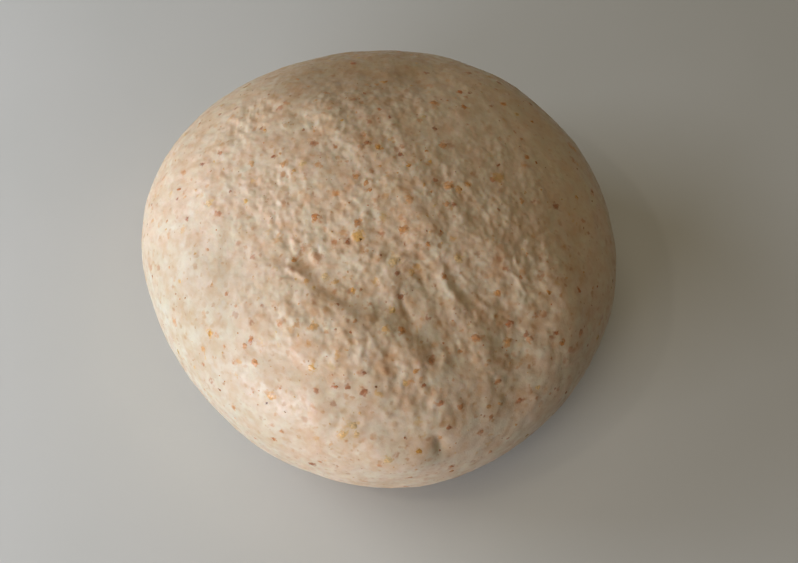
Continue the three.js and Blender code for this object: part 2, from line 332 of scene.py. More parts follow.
skin_tree, given, out = new_tree(
    "dough_skin",
    {"Solid": "Geometry", "Softening": "Int", **dict.fromkeys(LUMPS, "Float"),
     "Stretch line height": "Float", "Calm by the table": "Float"},
    {"Skin": "Geometry"})
at = add(skin_tree, "GeometryNodeInputPosition")
z = add(skin_tree, "ShaderNodeSeparateXYZ", at, out="Z")
x = add(skin_tree, "ShaderNodeSeparateXYZ", at, out="X")
off_table = add(skin_tree, "FunctionNodeCompare", z, TABLE_LEVEL, data_type="FLOAT",
                operation="GREATER_THAN")
softened = add(skin_tree, "GeometryNodeBlurAttribute", data_type="FLOAT_VECTOR", out="Value",
               sockets={"Value": at, "Iterations": given["Softening"]})
skin = add(skin_tree, "GeometryNodeSetPosition", sockets={
    "Geometry": given["Solid"], "Selection": off_table, "Position": softened})

heights = []
for name, (height, radius, path) in CREASES.items():
    heights.append(add(skin_tree, "GeometryNodeGroup", node_tree=pressed, sockets={
        "Skin": skin, "Path": lay_path(name, path), "Height": height * MM, "Radius": radius * MM}))

turned = math.radians(PULL_START)
for begin, end, turn in PULL_TURNS:
    turned = add(skin_tree, "ShaderNodeMath", turned, operation="ADD", sockets={
        1: add(skin_tree, "ShaderNodeMapRange", x, begin * MM, end * MM, 0.0, math.radians(turn),
               interpolation_type="SMOOTHSTEP")})
pull = add(skin_tree, "ShaderNodeCombineXYZ",
           add(skin_tree, "ShaderNodeMath", turned, operation="COSINE"),
           add(skin_tree, "ShaderNodeMath", turned, operation="SINE"))
normal = add(skin_tree, "GeometryNodeInputNormal")
climb = add(skin_tree, "ShaderNodeVectorMath", pull, normal, operation="DOT_PRODUCT", out="Value")
climb = add(skin_tree, "ShaderNodeVectorMath", normal, operation="SCALE", sockets={"Scale": climb})
pull = add(skin_tree, "ShaderNodeVectorMath", pull, climb, operation="SUBTRACT")
pull = add(skin_tree, "ShaderNodeVectorMath", pull, operation="NORMALIZE")


def pulled_noise(size, length, seed):
    """Noise about zero, averaged along the pull, so that its lumps are drawn out to a length."""
    places = max(2, round(length / size) + 1)
    step = (length - size) / (places - 1)
    total = 0.0
    for i in range(places):
        shift = (i - (places - 1) / 2) * step * MM
        moved = add(skin_tree, "ShaderNodeVectorMath", pull, operation="SCALE", sockets={"Scale": shift})
        moved = add(skin_tree, "ShaderNodeVectorMath", at, moved, operation="ADD")
        noise = add(skin_tree, "ShaderNodeTexNoise", noise_dimensions="4D", sockets={
            "Vector": moved, "W": seed, "Scale": 1 / (size * MM), "Detail": 0.0})
        total = add(skin_tree, "ShaderNodeMath", noise, total, operation="ADD")
    mean = add(skin_tree, "ShaderNodeMath", total, -0.5 * places, operation="ADD")
    return add(skin_tree, "ShaderNodeMath", mean, places ** -0.5, operation="MULTIPLY")


# The near left of the ball is drawn smooth, and the lumps are highest where the hands worked it
# last, round the creases and on the far left of the crown. Each zone is a centre and two distances
# from it in millimetres, and each height is a share of the lumps' whole height.
WORKED = ((15, -25, 72), 62, 28)
WORKED_FAR = ((-18, 18, 75), 46, 22)
SMOOTH = ((-48, -48, 35), 12, 58)
CALM_HEIGHT, WORKED_HEIGHT, WORKED_FAR_HEIGHT, SMOOTH_HEIGHT = 0.3, 0.95, 0.8, 0.2
PATCH = 20 * MM  # the lumps are also higher and lower in patches of about this size
PATCH_LOW, PATCH_HIGH = 0.6, 1.4
NOISE_LOW, NOISE_HIGH = 0.35, 0.65  # nearly all of a noise texture lies between these


def zone(tree, place, centre, begin, end, low, high):
    """A value that goes from low to high between two distances from a centre."""
    centre = tuple(value * MM for value in centre)
    away = add(tree, "ShaderNodeVectorMath", place, centre, operation="DISTANCE", out="Value")
    return add(tree, "ShaderNodeMapRange", away, begin * MM, end * MM, low, high,
               interpolation_type="SMOOTHSTEP")


roughness = zone(skin_tree, at, *WORKED, CALM_HEIGHT, WORKED_HEIGHT)
far_roughness = zone(skin_tree, at, *WORKED_FAR, CALM_HEIGHT, WORKED_FAR_HEIGHT)
roughness = add(skin_tree, "ShaderNodeMath", roughness, far_roughness, operation="MAXIMUM")
smooth = zone(skin_tree, at, *SMOOTH, SMOOTH_HEIGHT, 1.0)
roughness = add(skin_tree, "ShaderNodeMath", roughness, smooth, operation="MULTIPLY")
patches = add(skin_tree, "ShaderNodeTexNoise", at, sockets={"Scale": 1 / PATCH, "Detail": 1.0})
patches = add(skin_tree, "ShaderNodeMapRange", patches, NOISE_LOW, NOISE_HIGH, PATCH_LOW, PATCH_HIGH)
roughness = add(skin_tree, "ShaderNodeMath", roughness, patches, operation="MULTIPLY")

rough = 0.0
for seed, (name, lumps) in enumerate(LUMPS.items(), 1):
    relief = add(skin_tree, "ShaderNodeMath", pulled_noise(lumps["size"], lumps["length"], float(seed)),
                 given[name], operation="MULTIPLY")
    rough = add(skin_tree, "ShaderNodeMath", relief, rough, operation="ADD")

# A stretch line is a thin ridge where long drawn-out noise passes through zero. Its width is in
# the noise's own values.
line = pulled_noise(STRETCH_LINES["size"], STRETCH_LINES["length"], 4.0)
line = bell(skin_tree, add(skin_tree, "ShaderNodeMath", line, STRETCH_LINES["width"], operation="DIVIDE"))
line = add(skin_tree, "ShaderNodeMath", line, given["Stretch line height"], operation="MULTIPLY")
rough = add(skin_tree, "ShaderNodeMath", line, rough, operation="ADD")
total = add(skin_tree, "ShaderNodeMath", rough, roughness, operation="MULTIPLY")
for crease in heights:
    total = add(skin_tree, "ShaderNodeMath", total, crease, operation="ADD")
calm = add(skin_tree, "ShaderNodeMapRange", z, 0.0, given["Calm by the table"], 0.0, 1.0,
           interpolation_type="SMOOTHSTEP")
total = add(skin_tree, "ShaderNodeMath", total, calm, operation="MULTIPLY")
offset = add(skin_tree, "ShaderNodeVectorMath", normal, operation="SCALE", sockets={"Scale": total})
skin = add(skin_tree, "GeometryNodeSetPosition", sockets={
    "Geometry": skin, "Selection": off_table, "Offset": offset})
skin = add(skin_tree, "GeometryNodeSetShadeSmooth", skin)
skin_tree.links.new(skin, out["Skin"])

solid = bmesh.new()
solid.from_mesh(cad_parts["dough"].data)
bmesh.ops.remove_doubles(solid, verts=solid.verts, dist=0.001 * MM)
packed_skin = BVHTree.FromBMesh(solid)
bmesh.ops.subdivide_edges(solid, edges=solid.edges, cuts=FINER, use_grid_fill=True)
skin_mesh = bpy.data.meshes.new("dough_skin")
solid.to_mesh(skin_mesh)
solid.free()
for name in ("custom_normal", "sharp_edge", "sharp_face"):
    if name in skin_mesh.attributes:
        skin_mesh.attributes.remove(skin_mesh.attributes[name])
skin_mesh.materials.clear()
dough_skin = bpy.data.objects.new("dough_skin", skin_mesh)
scene.collection.objects.link(dough_skin)
make_plain(dough_skin, skin_tree, {
    "Softening": SOFTENING, **{name: lumps["height"] * MM for name, lumps in LUMPS.items()},
    "Stretch line height": STRETCH_LINES["height"] * MM, "Calm by the table": CALM_BY_TABLE})
for name in CREASES:
    bpy.data.curves.remove(bpy.data.objects[name].data)

# ---- Where the bran lies ----
# Wholemeal flour carries the whole husk of the grain, milled to flakes of all sizes. They lie
# in the skin without order, the coarse ones never quite touching. Their sizes and the least
# distance between them are in millimetres, and per_square is how many a square metre has at most.
COARSE_BRAN = dict(apart=1.8, per_square=36000.0, smallest=1.1, largest=3.2, bias=2.0)
FINE_BRAN = dict(per_square=32000.0, smallest=0.5, largest=1.0, bias=1.3)
DARKEST = 0.1  # of the shades below, the darkest that a flake sown at random has
BARE_FOOT = 1.5 * MM  # no flake is sown lower than this
CROWD = 14 * MM  # the coarse flakes lie closer and further apart in patches of about this size
CROWD_THINNEST = 0.45

# The flakes that catch the eye, listed one by one: the pixel of the photograph where each lies, how many
# pixels long it shows, its shade from dark to straw, and how deep it lies, from 0 to 1.
MARKED_BRAN = [
    (315, 217, 8, 0.45, 0.1), (358, 235, 11, 0.85, 0.15), (347, 241, 5, 0.1, 0.1),
    (403, 229, 9, 0.55, 0.1), (383, 216, 8, 0.9, 0.55), (394, 260, 10, 0.95, 0.3),
    (397, 272, 5, 0.15, 0.2), (417, 265, 7, 0.8, 0.4), (400, 296, 6, 0.2, 0.2), (376, 281, 6, 0.85, 0.45),
    (314, 327, 8, 0.75, 0.3), (297, 324, 6, 0.7, 0.5), (385, 331, 7, 0.8, 0.35), (402, 332, 7, 0.55, 0.2),
    (279, 325, 5, 0.4, 0.4), (319, 256, 8, 0.35, 0.65), (302, 247, 6, 0.4, 0.6), (334, 243, 5, 0.45, 0.4),
    (278, 237, 8, 0.7, 0.65), (268, 230, 6, 0.9, 0.7), (498, 291, 6, 0.6, 0.1), (458, 258, 8, 0.95, 0.3),
    (555, 334, 6, 0.25, 0.1), (508, 338, 8, 0.65, 0.15), (476, 336, 8, 0.45, 0.3),
    (507, 268, 5, 0.3, 0.4), (526, 333, 5, 0.2, 0.3), (536, 316, 6, 0.45, 0.4), (431, 360, 7, 0.35, 0.35),
    (405, 382, 5, 0.9, 0.3), (412, 381, 5, 0.6, 0.4), (424, 384, 4, 0.1, 0.1), (364, 373, 4.5, 0.1, 0.2),
    (376, 387, 3, 0.02, 0.1), (378, 394, 6, 0.9, 0.4), (440, 403, 6, 0.35, 0.3), (461, 405, 6, 0.45, 0.3),
    (202, 164, 4, 0.1, 0.15), (220, 153, 5, 0.35, 0.3), (187, 219, 4, 0.2, 0.1), (167, 221, 4, 0.55, 0.2),
    (218, 213, 5, 0.35, 0.3), (284, 165, 8, 0.65, 0.35), (302, 165, 6, 0.95, 0.3),
    (319, 165, 7, 0.65, 0.4), (313, 144, 7, 0.3, 0.35), (367, 144, 6, 0.2, 0.2), (356, 176, 6, 0.55, 0.2),
    (252, 164, 5, 0.7, 0.35), (254, 180, 5, 0.95, 0.4), (171, 194, 6, 0.98, 0.4), (261, 129, 4, 0.1, 0.3),
    (280, 110, 5, 0.2, 0.5), (207, 248, 4, 0.55, 0.3), (337, 194, 7, 0.6, 0.4), (434, 103, 7, 0.55, 0.25),
    (400, 156, 5, 0.1, 0.2), (435, 129, 5, 0.05, 0.3), (443, 146, 7, 0.55, 0.35),
    (449, 187, 8, 0.6, 0.15), (459, 190, 6, 0.7, 0.3), (454, 205, 4, 0.15, 0.2),
    (498, 178, 11, 0.85, 0.45), (492, 181, 5, 0.4, 0.4), (555, 206, 7, 0.2, 0.25),
    (492, 106, 5, 0.1, 0.4), (469, 93, 4, 0.1, 0.3), (468, 73, 6, 0.3, 0.3), (420, 121, 7, 0.6, 0.55),
    (573, 160, 7, 0.4, 0.5), (251, 339, 6, 0.4, 0.1), (271, 395, 8, 0.75, 0.15), (267, 403, 3, 0, 0),
    (234, 407, 5, 0.55, 0.2), (314, 472, 8, 0.15, 0.1), (352, 425, 9, 0.95, 0.3),
    (343, 435, 9, 0.85, 0.25), (357, 434, 6, 0.9, 0.35), (388, 464, 8, 0.95, 0.35),
    (348, 387, 5, 0.15, 0.2), (316, 389, 5, 0.3, 0.3), (220, 390, 3, 0.05, 0.1), (205, 390, 4, 0.6, 0.2),
    (255, 437, 5, 0.4, 0.2), (282, 431, 5, 0.5, 0.3), (316, 438, 6, 0.75, 0.5),
    (285, 412, 2.5, 0.05, 0.1), (405, 438, 3, 0.05, 0.1), (234, 362, 5, 0.35, 0.5),
    (217, 336, 6, 0.55, 0.5), (338, 355, 6, 0.85, 0.5), (308, 343, 6, 0.65, 0.5),
    (491, 414, 6, 0.45, 0.2), (449, 428, 5, 0.15, 0.2), (521, 397, 6, 0.2, 0.2), (537, 398, 7, 0.35, 0.4),
    (481, 430, 6, 0.4, 0.35), (418, 422, 9, 0.95, 0.65), (460, 349, 5, 0.55, 0.3),
    (558, 390, 5, 0.3, 0.4),
]
PHOTO_WIDTH, PHOTO_HEIGHT = 798, 563
FLAKE_PIXEL = 0.372 * MM  # a flake's length for each pixel that shows

sown, given, out = new_tree(
    "sown_bran",
    {"Skin": "Geometry", "Marked": "Object", "Apart": "Float", "Coarse density": "Float",
     "Coarse smallest": "Float", "Coarse largest": "Float", "Fine density": "Float",
     "Fine smallest": "Float", "Fine largest": "Float"},
    {"Bran": "Geometry"})
at = add(sown, "GeometryNodeInputPosition")
z = add(sown, "ShaderNodeSeparateXYZ", at, out="Z")
clear = add(sown, "FunctionNodeCompare", z, BARE_FOOT, data_type="FLOAT", operation="GREATER_THAN")
thick = add(sown, "ShaderNodeTexNoise", at, sockets={"Scale": 1 / CROWD, "Detail": 1.0})
thick = add(sown, "ShaderNodeMapRange", thick, NOISE_LOW, NOISE_HIGH, CROWD_THINNEST, 1.0)

marked = add(sown, "GeometryNodeObjectInfo", given["Marked"], out="Geometry")
landed = landing(sown, given["Skin"])
marked = add(sown, "GeometryNodeStoreNamedAttribute", marked, data_type="FLOAT_VECTOR", domain="POINT",
             sockets={"Name": "outward", "Value": landed.node.outputs["Hit Normal"]})
marked = add(sown, "GeometryNodeSetPosition", sockets={"Geometry": marked, "Position": landed})

all_bran = [marked]
for method, seed, density, smallest, largest, bias in (
        ("POISSON", 10, "Coarse density", "Coarse smallest", "Coarse largest", COARSE_BRAN["bias"]),
        ("RANDOM", 20, "Fine density", "Fine smallest", "Fine largest", FINE_BRAN["bias"])):
    poisson = method == "POISSON"
    points = add(sown, "GeometryNodeDistributePointsOnFaces", distribute_method=method, out="Points",
                 sockets={"Mesh": given["Skin"], "Selection": clear, "Seed": seed,
                          "Density Max" if poisson else "Density": given[density]})
    if poisson:
        sown.links.new(given["Apart"], points.node.inputs["Distance Min"])
        sown.links.new(thick, points.node.inputs["Density Factor"])
    draws = [add(sown, "FunctionNodeRandomValue", data_type="FLOAT", out=1,
                 sockets={"Min": low, "Seed": seed + i}) for i, low in ((1, 0.0), (2, DARKEST), (3, 0.0))]
    size = add(sown, "ShaderNodeMath", draws[0], bias, operation="POWER")
    size = add(sown, "ShaderNodeMapRange", size, 0.0, 1.0, given[smallest], given[largest])
    for name, kind, value in (
            ("outward", "FLOAT_VECTOR", points.node.outputs["Normal"]), ("size", "FLOAT", size),
            ("tint", "FLOAT", draws[1]), ("depth", "FLOAT", draws[2]), ("coarse", "FLOAT", float(poisson))):
        points = add(sown, "GeometryNodeStoreNamedAttribute", points, data_type=kind, domain="POINT",
                     sockets={"Name": name, "Value": value})
    near_marked = add(sown, "GeometryNodeProximity", marked, target_element="POINTS", out="Distance")
    crowded = add(sown, "FunctionNodeCompare", near_marked, given["Apart"], data_type="FLOAT",
                  operation="LESS_THAN")
    points = add(sown, "GeometryNodeDeleteGeometry", points, crowded, domain="POINT")
    all_bran.append(add(sown, "GeometryNodePointsToVertices", points))
sown.links.new(add(sown, "GeometryNodeJoinGeometry", all_bran), out["Bran"])

MARK_GROWTH = 1.3  # a flake is this much longer than the part of it that shows clearly


def tenth(length):
    """A length, rounded to a tenth of a millimetre."""
    return round(length / MM, 1) * MM


def behind_pixel(x, y):
    """The place of the dough that a pixel of the photograph shows, from above."""
    scale = VIEW_WIDTH / PHOTO_WIDTH
    way = forward * VIEW_DISTANCE + right * (x - PHOTO_WIDTH / 2) * scale
    way += right.cross(forward) * (PHOTO_HEIGHT / 2 - y) * scale
    hit = packed_skin.ray_cast(camera.location, way)[0]
    return tenth(hit.x), tenth(hit.y), 0


marks_mesh = bpy.data.meshes.new("marked_bran")
marks_mesh.from_pydata([behind_pixel(x, y) for x, y, *_ in MARKED_BRAN], [], [])
for name, values in (
        ("size", [MARK_GROWTH * tenth(pixels * FLAKE_PIXEL) for _, _, pixels, _, _ in MARKED_BRAN]),
        ("tint", [shade for *_, shade, _ in MARKED_BRAN]),
        ("depth", [under for *_, under in MARKED_BRAN]),
        ("coarse", [1.0] * len(MARKED_BRAN))):
    marks_mesh.attributes.new(name, "FLOAT", "POINT").data.foreach_set("value", values)
marked_bran = bpy.data.objects.new("marked_bran", marks_mesh)
scene.collection.objects.link(marked_bran)

bran_places = bpy.data.objects.new("bran_places", dough_skin.data.copy())
scene.collection.objects.link(bran_places)
make_plain(bran_places, sown, {
    "Marked": marked_bran, "Apart": COARSE_BRAN["apart"] * MM,
    "Coarse density": COARSE_BRAN["per_square"],
    "Coarse smallest": COARSE_BRAN["smallest"] * MM, "Coarse largest": COARSE_BRAN["largest"] * MM,
    "Fine density": FINE_BRAN["per_square"], "Fine smallest": FINE_BRAN["smallest"] * MM,
    "Fine largest": FINE_BRAN["largest"] * MM})
bpy.data.meshes.remove(marks_mesh)

# ---- The skin over the bran ----
# Each coarse flake pushes the skin up in a low mound, and its colour shows through round it.
MOUND_SHARE = 0.035  # a mound's height, as a share of its flake's length
MOUND_NARROWNESS = 2.2  # how soon it falls away from its middle
FLAT_FOOT = 1.0 * MM  # no mound lies lower than this
STAIN_REACH = 0.75  # how far a flake's stain goes, in its own lengths
STAIN_WANDER = dict(size=1.5, reach=3.5)  # how uneven its outline is, in millimetres

mounded, given, out = new_tree(
    "skin_over_bran",
    {"Skin": "Geometry", "Bran": "Object", "Mound share": "Float"},
    {"Skin": "Geometry"})
bran = add(mounded, "GeometryNodeObjectInfo", given["Bran"], out="Geometry")
coarse = add(mounded, "GeometryNodeInputNamedAttribute", "coarse", data_type="FLOAT", out="Attribute")
fine = add(mounded, "FunctionNodeCompare", coarse, 0.5, data_type="FLOAT", operation="LESS_THAN")
bran = add(mounded, "GeometryNodeDeleteGeometry", bran, fine, domain="POINT")
at = add(mounded, "GeometryNodeInputPosition")


def nearest_flake(place, *names):
    """How many of its own lengths the nearest coarse flake is away, and what it was given."""
    index = add(mounded, "GeometryNodeSampleNearest", bran, place, domain="POINT")
    flake = add(mounded, "GeometryNodeSampleIndex", bran, data_type="FLOAT_VECTOR", domain="POINT",
                out="Value", sockets={"Value": at, "Index": index})
    facts = []
    for name in ("size", *names):
        fact = add(mounded, "GeometryNodeInputNamedAttribute", name, data_type="FLOAT", out="Attribute")
        facts.append(add(mounded, "GeometryNodeSampleIndex", bran, data_type="FLOAT", domain="POINT",
                         out="Value", sockets={"Value": fact, "Index": index}))
    distance = add(mounded, "ShaderNodeVectorMath", place, flake, operation="DISTANCE", out="Value")
    return add(mounded, "ShaderNodeMath", distance, facts[0], operation="DIVIDE"), *facts


away, size = nearest_flake(at)
near = bell(mounded, away, MOUND_NARROWNESS)
height = add(mounded, "ShaderNodeMath", near, size, operation="MULTIPLY")
height = add(mounded, "ShaderNodeMath", height, given["Mound share"], operation="MULTIPLY")
normal = add(mounded, "GeometryNodeInputNormal")
offset = add(mounded, "ShaderNodeVectorMath", normal, operation="SCALE", sockets={"Scale": height})


def wandering(tree, place, size, reach):
    """A place moved about by noise of a size and a whole reach."""
    wander = add(tree, "ShaderNodeTexNoise", place, out="Color", sockets={"Scale": 1 / (size * MM)})
    wander = add(tree, "ShaderNodeVectorMath", wander, (0.5, 0.5, 0.5), operation="SUBTRACT")
    wander = add(tree, "ShaderNodeVectorMath", wander, operation="SCALE", sockets={"Scale": reach * MM})
    return add(tree, "ShaderNodeVectorMath", place, wander, operation="ADD")


# Through the skin a flake shows as a soft stain with an uneven outline. The skin keeps how strong
# the stain is at each place, and its flake's shade and depth.
seen = wandering(mounded, at, **STAIN_WANDER)
away, size, tint, depth = nearest_flake(seen, "tint", "depth")
stain = add(mounded, "ShaderNodeMapRange", away, STAIN_REACH, 0.0, 0.0, 1.0)
skin = given["Skin"]
for name, value in (("bran", stain), ("husk", tint), ("under", depth)):
    skin = add(mounded, "GeometryNodeStoreNamedAttribute", skin, data_type="FLOAT", domain="POINT",
               sockets={"Name": name, "Value": value})
z = add(mounded, "ShaderNodeSeparateXYZ", at, out="Z")
off_table = add(mounded, "FunctionNodeCompare", z, FLAT_FOOT, data_type="FLOAT",
                operation="GREATER_THAN")
skin = add(mounded, "GeometryNodeSetPosition", sockets={
    "Geometry": skin, "Selection": off_table, "Offset": offset})
mounded.links.new(skin, out["Skin"])
make_plain(dough_skin, mounded, {"Bran": bran_places, "Mound share": MOUND_SHARE})

# Raw wholemeal dough, stretched and left moist: pale beige, browner wherever milled bran lies
# near the skin, light that sinks in a few millimetres, and a soft satin sheen.
DOUGH_PALE = "#DCCBAF"
DOUGH_PINK = "#DDC6AA"
DOUGH_BROWN = "#BF8645"
SUNKEN_TAN = "#C48C48"
SUNKEN_BROWN = "#AE6C3E"
COLOUR_WANDER = dict(size=1.8, reach=2.0)  # how uneven the patterns' outlines are, in millimetres
PINK_CLOUD = (7.0, 0.40, 0.62)  # its size in mm, and the noise's values from pale to pink
BRAN_CLOUDS = [(6.5, 0.40, 0.80, 0.45), (3.0, 0.40, 0.80, 0.45)]  # the same, and their strength
SUNKEN_BRAN = [(3.4, 0.50, 0.75), (2.0, 0.50, 0.6)]  # spacing in mm, reach and strength
SOFT_RIM = 0.3  # a sunken flake is at its strongest up to this share of its reach
FAR_RIGHT = ((44, 28, 60), 18, 60)
CALM_BRAN, FAR_RIGHT_BRAN = 0.8, 0.55  # how much of all this shows outside WORKED, and at the far right
BRAN_COLOURS = {0.0: "#553420", 0.03: "#8E5632", 0.12: "#A5633A", 0.35: "#BA733F", 0.6: "#CB8A47",
                0.85: "#D2A153", 1.0: "#D8B67C"}
# Painted shade: where the dough's colour is darkened for how the light falls on it, given as a zone, and
# what the colour is multiplied by where the zone is full. The far side, turned from the windows, is painted
# browner as shade, and its top darker still. The near left, where the windows light it brightest, is
# painted greyer to hold back its highlight.
PAINTED_SHADE_ZONES = [
    # painted shade on the far side, turned from the windows
    ((-15, -45, 60), 70, 125, (0.88, 0.84, 0.74)),
    # painted shade, deepest along the far top
    ((-6, 58, 68), 42, 12, (0.74, 0.71, 0.66)),
    # painted dimming of the highlight, where the window light falls brightest
    ((-72, -42, 25), 72, 30, (0.82, 0.89, 0.92)),
]


def dough_colour(tree, place):
    """The dough's colour: beige and pinkish, with clouds of fine bran, bran lying deep, and painted shade.
    """
    place = wandering(tree, place, **COLOUR_WANDER)
    size, begin, end = PINK_CLOUD
    cloud = add(tree, "ShaderNodeTexNoise", place, sockets={"Scale": 1 / (size * MM), "Detail": 1.0})
    cloud = add(tree, "ShaderNodeMapRange", cloud, begin, end, 0.0, 1.0)
    colour = add(tree, "ShaderNodeMix", data_type="RGBA", out="Result",
                 sockets={"Factor": cloud, "A": linear(DOUGH_PALE), "B": linear(DOUGH_PINK)})
    shown = zone(tree, place, *WORKED, CALM_BRAN, 1.0)
    far_right = zone(tree, place, *FAR_RIGHT, FAR_RIGHT_BRAN, 1.0)
    shown = add(tree, "ShaderNodeMath", shown, far_right, operation="MULTIPLY")
    for size, begin, end, strength in BRAN_CLOUDS:
        dust = add(tree, "ShaderNodeTexNoise", place, sockets={
            "Scale": 1 / (size * MM), "Detail": 1.0, "Roughness": 0.6})
        dust = add(tree, "ShaderNodeMapRange", dust, begin, end, 0.0, strength)
        dust = add(tree, "ShaderNodeMath", dust, shown, operation="MULTIPLY")
        colour = add(tree, "ShaderNodeMix", data_type="RGBA", out="Result",
                     sockets={"Factor": dust, "A": colour, "B": linear(DOUGH_BROWN)})
    for spacing, reach, strength in SUNKEN_BRAN:
        spots = add(tree, "ShaderNodeTexVoronoi", place, sockets={"Scale": 1 / (spacing * MM)})
        draw = add(tree, "ShaderNodeSeparateColor", spots.node.outputs["Color"], out="Red")
        hue = draw.node.outputs["Green"]
        widest = add(tree, "ShaderNodeMath", draw, reach, operation="MULTIPLY")
        there = add(tree, "ShaderNodeMath", spots, widest, operation="DIVIDE")
        there = add(tree, "ShaderNodeMapRange", there, 1.0, SOFT_RIM, 0.0, strength,
                    interpolation_type="SMOOTHSTEP")
        there = add(tree, "ShaderNodeMath", there, draw.node.outputs["Blue"], operation="MULTIPLY")
        there = add(tree, "ShaderNodeMath", there, shown, operation="MULTIPLY")
        sunken = add(tree, "ShaderNodeMix", data_type="RGBA", out="Result", sockets={
            "Factor": hue, "A": linear(SUNKEN_TAN), "B": linear(SUNKEN_BROWN)})
        colour = add(tree, "ShaderNodeMix", data_type="RGBA", out="Result",
                     sockets={"Factor": there, "A": colour, "B": sunken})
    # Painted shade on the far side and its top, and a painted dimming of the highlight on the near left.
    for *where, share in PAINTED_SHADE_ZONES:
        there = zone(tree, place, *where, 0.0, 1.0)
        deeper = add(tree, "ShaderNodeVectorMath", colour, share, operation="MULTIPLY")
        colour = add(tree, "ShaderNodeMix", data_type="RGBA", out="Result",
                     sockets={"Factor": there, "A": colour, "B": deeper})
    return colour


def husk_colour(tree, attribute):
    """The colour of a husk, from the shade that an attribute holds."""
    tint = add(tree, "ShaderNodeAttribute", attribute_name=attribute, out="Fac")
    husk = add(tree, "ShaderNodeValToRGB", tint, out="Color")
    stops = husk.node.color_ramp.elements
    while len(stops) < len(BRAN_COLOURS):
        stops.new(1.0)
    for stop, (position, shade) in zip(stops, BRAN_COLOURS.items()):
        stop.position = position
        stop.color = linear(shade)
    return husk


FRAYED_EDGE = 0.9 * MM  # the stains' edges are frayed by noise of this size
FRAYED_RANGE = 1.1  # and of this whole range
STAIN_STARTS, STAIN_FULL = 0.3, 0.8  # the strengths between which a frayed stain comes up
SHALLOW_STAIN, DEEP_STAIN = 0.9, 0.3  # how much the shallowest and the deepest flakes show
FINE_GRAIN = 0.8 * MM  # the pores and starch of the skin, drawn a little coarse so that they show
FINE_GRAIN_DEPTH = 0.1 * MM
DAMP_PATCH = 2.2 * MM  # damper and drier places take turns about this far apart
DAMP_ROUGHNESS, DRY_ROUGHNESS = 0.3, 0.58

dough_finish, tree, place = new_finish("raw_wholemeal_dough")
stain = add(tree, "ShaderNodeAttribute", attribute_name="bran", out="Fac")
frayed = add(tree, "ShaderNodeTexNoise", place, sockets={"Scale": 1 / FRAYED_EDGE, "Detail": 2.0})
frayed = add(tree, "ShaderNodeMath", frayed, FRAYED_RANGE, -FRAYED_RANGE / 2, operation="MULTIPLY_ADD")
stain = add(tree, "ShaderNodeMath", stain, frayed, operation="ADD")
stain = add(tree, "ShaderNodeMapRange", stain, STAIN_STARTS, STAIN_FULL, 0.0, 1.0,
            interpolation_type="SMOOTHSTEP")
under = add(tree, "ShaderNodeAttribute", attribute_name="under", out="Fac")
veil = add(tree, "ShaderNodeMapRange", under, 0.0, 1.0, SHALLOW_STAIN, DEEP_STAIN)
stain = add(tree, "ShaderNodeMath", stain, veil, operation="MULTIPLY")
colour = add(tree, "ShaderNodeMix", data_type="RGBA", out="Result", sockets={
    "Factor": stain, "A": dough_colour(tree, place), "B": husk_colour(tree, "husk")})
grain = add(tree, "ShaderNodeTexNoise", place, sockets={"Scale": 1 / FINE_GRAIN, "Detail": 2.0})
bump = add(tree, "ShaderNodeBump", sockets={
    "Strength": 0.5, "Distance": FINE_GRAIN_DEPTH, "Height": grain})
damp = add(tree, "ShaderNodeTexNoise", place, sockets={"Scale": 1 / DAMP_PATCH, "Detail": 1.0})
damp = add(tree, "ShaderNodeMapRange", damp, NOISE_LOW, NOISE_HIGH, DAMP_ROUGHNESS, DRY_ROUGHNESS)
shader = add(tree, "ShaderNodeBsdfPrincipled", subsurface_method="RANDOM_WALK", sockets={
    "Base Color": colour, "Roughness": damp, "IOR": 1.4, "Normal": bump,
    "Subsurface Weight": 0.35, "Subsurface Radius": (1.0, 0.55, 0.3),
    "Subsurface Scale": 1.6 * MM, "Specular IOR Level": 0.5})
add(tree, "ShaderNodeOutputMaterial", shader)
dough_skin.data.materials.clear()
dough_skin.data.materials.append(dough_finish)
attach(dough_skin, "root")
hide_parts("dough")

# ---- The bran flakes ----
# Flat chips of spelt husk, orange-brown to straw yellow, a few dark brown. The shallow ones are
# made here, each bent to the skin with its crown just out of it. The deeper ones are only stains.
STEEPNESS = 0.2  # how steeply a coarse flake's top rises from its rim
FINE_STEEPNESS = 0.35  # a fine one's is steeper, so that it glints
DEEPEST_SHOWN = 0.4  # the deepest flake that is made, on the same scale of 0 to 1
SUNK = 0.028  # how far a flake's rim lies under the skin, as a share of its length
SLIMMEST, STOUTEST = (0.95, 0.6, 0.1), (1.25, 0.95, 0.1)  # length, width and height by its size
RAGGED_SCALE = 1.8  # how many swings of noise there are along a flake
RAGGED_REACH = 0.75  # their whole reach, as a share of its length

flakes, given, out = new_tree(
    "bran_flakes",
    {"Bran": "Geometry", "Skin": "Object", "Steepness": "Float", "Fine steepness": "Float",
     "Deepest shown": "Float", "Finish": "Material"},
    {"Flakes": "Geometry"})
at = add(flakes, "GeometryNodeInputPosition")
size = add(flakes, "GeometryNodeInputNamedAttribute", "size", data_type="FLOAT", out="Attribute")
outward = add(flakes, "GeometryNodeInputNamedAttribute", "outward", data_type="FLOAT_VECTOR",
              out="Attribute")
depth = add(flakes, "GeometryNodeInputNamedAttribute", "depth", data_type="FLOAT", out="Attribute")
coarse = add(flakes, "GeometryNodeInputNamedAttribute", "coarse", data_type="FLOAT", out="Attribute")

